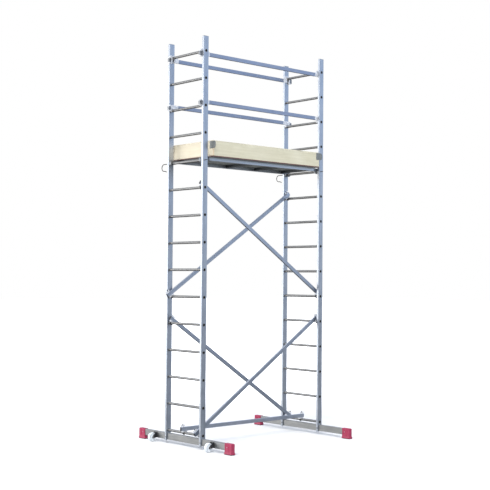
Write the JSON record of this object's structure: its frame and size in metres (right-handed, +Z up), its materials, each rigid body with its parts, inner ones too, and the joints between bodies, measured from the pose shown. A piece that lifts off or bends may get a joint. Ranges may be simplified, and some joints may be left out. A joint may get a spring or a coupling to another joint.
{
  "type": "mobile tower scaffold",
  "caption": "Tall aluminium ladder-frame tower with diagonal braces, a decked platform with hatch, guard rails, wooden toe boards, capped base beams and transport wheels.",
  "frame": {"origin": "on the floor, at the centre of the whole footprint; the tower's own centre line is 16.6 mm towards +X of it, because the wheels reach out on the -X side", "axes": "+Z up, +X along the platform towards the ladder frame without wheels, +Y across towards the side where the coupling rods' hooks stick out"},
  "size_m": [1.8888, 1.52, 4.21],
  "materials": {
    "stile_aluminium": "mill extruded, fine lengthwise lines",
    "rung_aluminium": "mill extruded, dull",
    "tube_aluminium": "mill extruded, blue-grey",
    "beam_aluminium": "mill extruded, scuffed",
    "cast_aluminium": "as cast, matt",
    "zinc_steel": "zinc plated",
    "dark_steel": "dark, satin",
    "grey_plastic": "moulded, matt",
    "red_plastic": "moulded, satin",
    "black_rubber": "matt",
    "wheel_plastic": "moulded, satin",
    "film_plywood": "dark phenolic film, anti-slip",
    "pale_plywood": "raw plywood, fine grain"
  },
  "bodies": {
    "tower": {"lower_stile_front_left": "stile_aluminium", "lower_stile_back_left": "stile_aluminium", "lower_stile_front_right": "stile_aluminium", "lower_stile_back_right": "stile_aluminium", "upper_stile_front_left": "stile_aluminium", "upper_stile_back_left": "stile_aluminium", "upper_stile_front_right": "stile_aluminium", "upper_stile_back_right": "stile_aluminium", "lower_rungs_left": "rung_aluminium", "lower_rungs_right": "rung_aluminium", "upper_rungs_left": "rung_aluminium", "upper_rungs_right": "rung_aluminium", "stile_spigots": "rung_aluminium", "stile_plugs": "grey_plastic", "guard_rail_top_front": "tube_aluminium", "guard_rail_top_back": "tube_aluminium", "guard_rail_mid_front": "tube_aluminium", "guard_rail_mid_back": "tube_aluminium", "guard_rail_claws": "cast_aluminium", "brace_upper_front": "tube_aluminium", "brace_upper_back": "tube_aluminium", "brace_lower_front": "tube_aluminium", "brace_lower_back": "tube_aluminium", "plan_brace": "tube_aluminium", "brace_saddles": "cast_aluminium", "brace_hook_bolts": "dark_steel", "base_beam_left": "beam_aluminium", "base_beam_right": "beam_aluminium", "base_beam_bolts": "zinc_steel", "foot_caps": "red_plastic", "foot_pads": "black_rubber", "wheel_brackets": "dark_steel", "wheel_axles": "zinc_steel", "platform_frame": "tube_aluminium", "platform_claws": "dark_steel", "deck_panel": "film_plywood", "hatch_hinges": "zinc_steel", "toe_board_front": "pale_plywood", "toe_board_back": "pale_plywood", "toe_board_left": "pale_plywood", "toe_board_right": "pale_plywood", "toe_board_brackets": "zinc_steel"},
    "coupling_rod_left": {"coupling_rod_left": "dark_steel"},
    "coupling_rod_right": {"coupling_rod_right": "dark_steel"},
    "wing_nut_1": {"wing_nut_1": "zinc_steel"},
    "wing_nut_2": {"wing_nut_2": "zinc_steel"},
    "wing_nut_3": {"wing_nut_3": "zinc_steel"},
    "wing_nut_4": {"wing_nut_4": "zinc_steel"},
    "wing_nut_5": {"wing_nut_5": "zinc_steel"},
    "wing_nut_6": {"wing_nut_6": "zinc_steel"},
    "wing_nut_7": {"wing_nut_7": "zinc_steel"},
    "wing_nut_8": {"wing_nut_8": "zinc_steel"},
    "wing_nut_9": {"wing_nut_9": "zinc_steel"},
    "wing_nut_10": {"wing_nut_10": "zinc_steel"},
    "wheel_front": {"wheel_front": "wheel_plastic"},
    "wheel_back": {"wheel_back": "wheel_plastic"},
    "hatch": {"hatch_panel": "film_plywood", "hatch_hinge_leaves": "zinc_steel"},
    "wind_latch_left": {"wind_latch_left": "grey_plastic"},
    "wind_latch_right": {"wind_latch_right": "grey_plastic"}
  },
  "joints": [
    {"name": "coupling_rod_left_pull", "type": "slide", "parent": "tower", "child": "coupling_rod_left", "axis": [0, 1, 0], "range_m": [0, 0.6]},
    {"name": "coupling_rod_right_pull", "type": "slide", "parent": "tower", "child": "coupling_rod_right", "axis": [0, 1, 0], "range_m": [0, 0.6]},
    {"name": "wing_nut_1_turn", "type": "hinge", "parent": "tower", "child": "wing_nut_1", "pos_m": [-0.80827, -0.236, 2.72255], "axis": [0.552, 0, 0.8339], "continuous": true},
    {"name": "wing_nut_2_turn", "type": "hinge", "parent": "tower", "child": "wing_nut_2", "pos_m": [0.91375, -0.236, 1.58268], "axis": [0.552, 0, 0.8339], "continuous": true},
    {"name": "wing_nut_3_turn", "type": "hinge", "parent": "tower", "child": "wing_nut_3", "pos_m": [-0.88058, 0.236, 1.58268], "axis": [-0.552, 0, 0.8339], "continuous": true},
    {"name": "wing_nut_4_turn", "type": "hinge", "parent": "tower", "child": "wing_nut_4", "pos_m": [0.84144, 0.236, 2.72255], "axis": [-0.552, 0, 0.8339], "continuous": true},
    {"name": "wing_nut_5_turn", "type": "hinge", "parent": "tower", "child": "wing_nut_5", "pos_m": [-0.88058, -0.236, 0.18268], "axis": [-0.552, 0, 0.8339], "continuous": true},
    {"name": "wing_nut_6_turn", "type": "hinge", "parent": "tower", "child": "wing_nut_6", "pos_m": [0.84144, -0.236, 1.32255], "axis": [-0.552, 0, 0.8339], "continuous": true},
    {"name": "wing_nut_7_turn", "type": "hinge", "parent": "tower", "child": "wing_nut_7", "pos_m": [-0.80827, 0.236, 1.32255], "axis": [0.552, 0, 0.8339], "continuous": true},
    {"name": "wing_nut_8_turn", "type": "hinge", "parent": "tower", "child": "wing_nut_8", "pos_m": [0.91375, 0.236, 0.18268], "axis": [0.552, 0, 0.8339], "continuous": true},
    {"name": "wing_nut_9_turn", "type": "hinge", "parent": "tower", "child": "wing_nut_9", "pos_m": [-0.84742, 0.008, 0.2035], "axis": [0, 0, 1], "continuous": true},
    {"name": "wing_nut_10_turn", "type": "hinge", "parent": "tower", "child": "wing_nut_10", "pos_m": [0.88058, 0.008, 0.2035], "axis": [0, 0, 1], "continuous": true},
    {"name": "wheel_front_spin", "type": "hinge", "parent": "tower", "child": "wheel_front", "pos_m": [-0.89841, -0.465, 0.049], "axis": [0, 1, 0], "continuous": true},
    {"name": "wheel_back_spin", "type": "hinge", "parent": "tower", "child": "wheel_back", "pos_m": [-0.89841, 0.465, 0.049], "axis": [0, 1, 0], "continuous": true},
    {"name": "hatch_open", "type": "hinge", "parent": "tower", "child": "hatch", "pos_m": [-0.38342, 0.2165, 2.9902], "axis": [-1, 0, 0], "range_deg": [0, 95]},
    {"name": "wind_latch_left_release", "type": "hinge", "parent": "tower", "child": "wind_latch_left", "pos_m": [-0.77941, -0.2312, 2.946], "axis": [0, -1, 0], "range_deg": [0, 80]},
    {"name": "wind_latch_right_release", "type": "hinge", "parent": "tower", "child": "wind_latch_right", "pos_m": [0.81259, -0.2312, 2.946], "axis": [0, 1, 0], "range_deg": [0, 80]}
  ]
}
